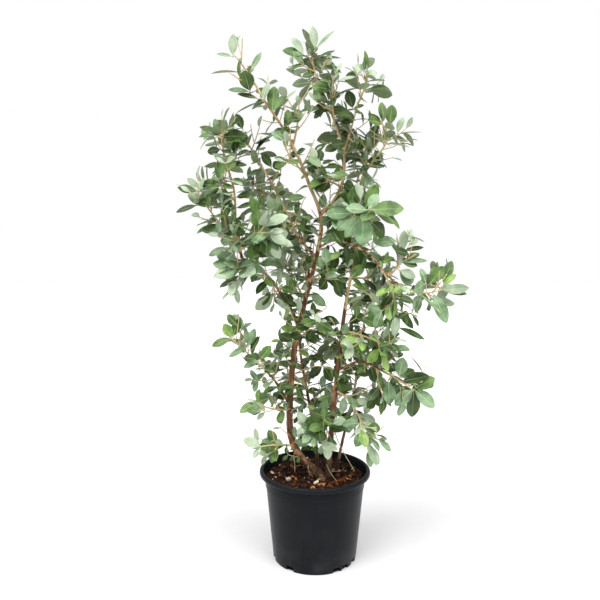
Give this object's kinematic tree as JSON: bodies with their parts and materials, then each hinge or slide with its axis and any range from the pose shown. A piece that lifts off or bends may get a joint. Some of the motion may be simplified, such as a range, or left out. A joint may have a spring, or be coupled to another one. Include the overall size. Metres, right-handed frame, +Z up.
{
  "type": "potted feijoa shrub",
  "caption": "Young evergreen shrub with several stems, open crown of paired silvery leaves, standing in a round black plastic nursery pot of bark mix.",
  "frame": {"origin": "centre of the pot's flat underside", "axes": "+Z up along the pot's axis, -Y towards the side seen in the picture, +X to the right of it"},
  "size_m": [0.6041, 0.4491, 1.1886],
  "materials": {
    "pot": "black moulded polypropylene, satin, faint scuffs",
    "potting_mix": "moist composted bark with chips and white perlite",
    "bark": "reddish brown bark, finely flaking, matt",
    "foliage": "grey-green leaves, satin above and pale felted below"
  },
  "bodies": {
    "root": {"pot": "pot", "potting_mix": "potting_mix", "stem_left": "bark", "stem_right": "bark", "stem_back": "bark", "stem_side": "bark", "bough_leader_right": "bark", "bough_top_centre": "bark", "bough_top_right": "bark", "bough_right_upper": "bark", "bough_left_low": "bark", "bough_left_high": "bark", "bough_middle_left": "bark", "bough_arch": "bark", "bough_right_outer": "bark", "bough_right_low": "bark", "bough_left_foot": "bark", "bough_back_middle": "bark", "foliage_top_left": "foliage", "foliage_top_centre": "foliage", "foliage_top_inner": "foliage", "foliage_top_right": "foliage", "foliage_right_upper": "foliage", "foliage_right_shoulder": "foliage", "foliage_left_high": "foliage", "foliage_left_side": "foliage", "foliage_left_inner": "foliage", "foliage_left_outer": "foliage", "foliage_left_shoulder": "foliage", "foliage_left_crown": "foliage", "foliage_middle_left": "foliage", "foliage_middle_back": "foliage", "foliage_front_left": "foliage", "foliage_left_hanging": "foliage", "foliage_left_under": "foliage", "foliage_front_right": "foliage", "foliage_centre_upper": "foliage", "foliage_right_middle": "foliage", "foliage_right_outer": "foliage", "foliage_right_fresh": "foliage", "foliage_right_inner": "foliage", "foliage_right_green": "foliage", "foliage_right_low": "foliage", "foliage_right_under": "foliage", "foliage_left_foot": "foliage", "foliage_left_low": "foliage", "foliage_left_lowest": "foliage", "foliage_hanging": "foliage", "foliage_centre_low": "foliage", "foliage_centre_middle": "foliage", "foliage_centre_high": "foliage", "foliage_back_left_low": "foliage", "foliage_back_centre_low": "foliage", "foliage_back_centre": "foliage", "foliage_back_left": "foliage", "foliage_back_right_low": "foliage", "foliage_back_right": "foliage", "foliage_back_middle": "foliage", "foliage_back_top": "foliage", "foliage_back_right_high": "foliage"}
  },
  "joints": []
}
